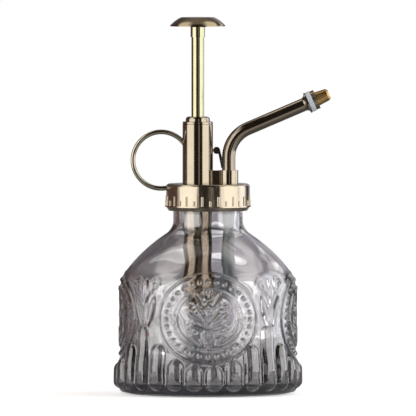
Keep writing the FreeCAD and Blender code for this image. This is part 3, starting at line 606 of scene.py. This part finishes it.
HAUNCH = (
    [(39.2, 47.1)]
    + arc((39.2, 47.1), (35.9, 56.4), 14.8, 1, 12)
    + arc((35.9, 56.4), (17.3, 72.85), 75, 1, 26)
)
BODY_Z = [0.0, 0.5, 1.3, 2.6, 4.5, 7.0, 12.0, 14.5, 17.0, 19.0] + [z for _, z in HAUNCH]
BODY_R = [34.9, 38.2, 39.4, 40.0, 40.35, 40.25, 40.0, 39.75, 39.4, 39.2] + [r for r, _ in HAUNCH]
FLUTE_Z = (0.4, 2.0, 4.0, 7.0, 12.0, 16.0, 22.0, 31.0)
FLUTE_RISE = (1.2, 2.0, 2.2, 2.3, 2.5, 2.6, 2.2, 1.8)
UNDER = [(28.5, 1.6), (31.0, 0.05), (31.6, 0.0), (34.3, 0.0), (34.9, 0.05)]
NECK = (
    [point for point in HAUNCH if RELIEF_HIGH < point[1] < 71.9]
    + arc((18.9, 71.8), (NECK_R, 78.0), 7.5, -1, 10)
    + line((NECK_R, 78.0), (NECK_R, 83.0), 4)
    + line((NECK_R, 83.0), (NECK_R, 88.6), 28)
    + line((NECK_R, 88.6), (NECK_R, 89.4), 2)
    + arc((NECK_R, 89.4), (14.8, LIP_Z), 0.8, 1, 4)
)
INSIDE = (
    [(13.9, LIP_Z), (MOUTH_R, 89.5)]
    + line((MOUTH_R, 89.5), (MOUTH_R, 78.0), 6)
    + arc((MOUTH_R, 78.0), (17.49, 69.84), 9.9, 1, 12)
    + arc((17.49, 69.84), (33.57, 54.51), 72.4, -1, 20)
    + arc((33.57, 54.51), (36.2, 47.1), 11.8, -1, 8)
    + line((36.2, 47.1), (36.2, 24.0), 9)
    + arc((36.2, 24.0), (35.0, 10.5), 78.0, -1, 6)
    + arc((35.0, 10.5), (28.6, INSIDE_FLOOR), 6.6, -1, 8)
    + line((28.6, INSIDE_FLOOR), (4.0, INSIDE_FLOOR), 5)
)


def round_points(radius, z, azimuth):
    return np.stack((radius * np.sin(azimuth), -radius * np.cos(azimuth), z + 0 * azimuth), axis=1)


def stitch(lower, upper):
    """Faces between two rings of vertex numbers; one may have twice as many as the other."""
    if len(lower) == len(upper):
        steps = [(i, (i + 1) % len(lower)) for i in range(len(lower))]
        return [(lower[i], lower[j], upper[j], upper[i]) for i, j in steps]
    flip = len(lower) > len(upper)
    few, many = (upper, lower) if flip else (lower, upper)
    faces = []
    for i, first in enumerate(few):
        second = few[(i + 1) % len(few)]
        left, middle, right = many[2 * i], many[2 * i + 1], many[(2 * i + 2) % len(many)]
        faces += [(first, middle, left), (first, second, middle), (second, right, middle)]
    return [face[::-1] for face in faces] if flip else faces


def inside_wave(azimuth, z):
    """How far the inside of the glass wanders from round: nothing in the mouth and on the floor."""
    wave = 0.16 * np.sin(3 * azimuth + z / 4.3) + 0.12 * np.sin(7 * azimuth - z / 2.6)
    return (wave + 0.12 * np.sin(z / 1.9)) * np.clip((82 - z) / 8, 0, 1) * (z > INSIDE_FLOOR + 1)


def add_mesh(name, points, faces, material):
    mesh = bpy.data.meshes.new(name)
    mesh.from_pydata(points.tolist(), [], faces)
    mesh.shade_smooth()
    mesh.materials.append(material)
    made = bpy.data.objects.new(name, mesh)
    bpy.context.scene.collection.objects.link(made)
    return made


def add_bottle():
    """The pressed bottle, one closed skin: under the foot, up the outside, over the lip and down inside."""
    fine = np.arange(FINE) * 2 * np.pi / FINE
    coarse = fine[::2]
    coarser = coarse[::2]
    rings = [round_points(radius, z, coarse) for radius, z in UNDER]
    for z in np.linspace(RELIEF_LOW, RELIEF_HIGH, RELIEF_ROWS):
        rings.append(round_points(outside_radius(fine, np.full(FINE, z)), z, fine))
    rings += [round_points(radius + thread(coarse, z), z, coarse) for radius, z in NECK]
    rings += [round_points(radius + inside_wave(coarser, z), z, coarser) for radius, z in INSIDE]
    starts = np.cumsum([0] + [len(ring) for ring in rings])
    faces = []
    for number in range(len(rings) - 1):
        lower = range(starts[number], starts[number + 1])
        upper = range(starts[number + 1], starts[number + 2])
        faces += stitch(lower, upper)
    faces.append(tuple(reversed(range(starts[1]))))
    faces.append(tuple(range(starts[-2], starts[-1])))
    made = add_mesh("pressed_bottle", np.concatenate(rings) * MM, faces, GLASS)
    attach(made, "bottle")
    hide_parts("glass_bottle")


# ---- return spring ---------------------------------------------------------------------------------

SPRING_TURNS = 15
STEPS_PER_TURN = 32
WIRE_SIDES = 12
WIRE_R = 0.35 * MM


def add_spring():
    """The coil under the piston, in place of the rigid one."""
    low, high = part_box("return_spring")
    foot = low[2]
    mid_r = (high[0] - low[0]) / 2 - WIRE_R
    climb = (high[2] - foot - 2 * WIRE_R) / (2 * math.pi * SPRING_TURNS)
    turn = np.linspace(0, 2 * math.pi * SPRING_TURNS, SPRING_TURNS * STEPS_PER_TURN + 1)
    level = np.zeros_like(turn)
    outward = np.stack([np.cos(turn), np.sin(turn), level], 1)
    along = np.stack([-mid_r * np.sin(turn), mid_r * np.cos(turn), level + climb], 1)
    along /= np.linalg.norm(along, axis=1)[:, None]
    across = np.cross(along, outward)
    middle = outward * mid_r + np.stack([level + PUMP_X, level, foot + WIRE_R + climb * turn], 1)
    points = [
        middle + WIRE_R * (math.cos(angle) * outward + math.sin(angle) * across)
        for angle in np.arange(WIRE_SIDES) * 2 * math.pi / WIRE_SIDES
    ]
    starts = range(0, len(turn) * WIRE_SIDES, WIRE_SIDES)
    rings = [range(start, start + WIRE_SIDES) for start in starts]
    faces = [face for lower, upper in zip(rings, rings[1:]) for face in stitch(lower, upper)]
    faces += [tuple(reversed(rings[0])), tuple(rings[-1])]
    made = add_mesh("coil_spring", np.stack(points, 1).reshape(-1, 3), faces, STEEL)
    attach(made, nodes["return_spring"]["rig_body"])
    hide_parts("return_spring")
    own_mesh(made)


# ---- putting the scene together ---------------------------------------------------------------------

add_bottle()
add_spring()
add_camera()
add_world()
add_floor()
bpy.context.scene.view_settings.view_transform = "Standard"
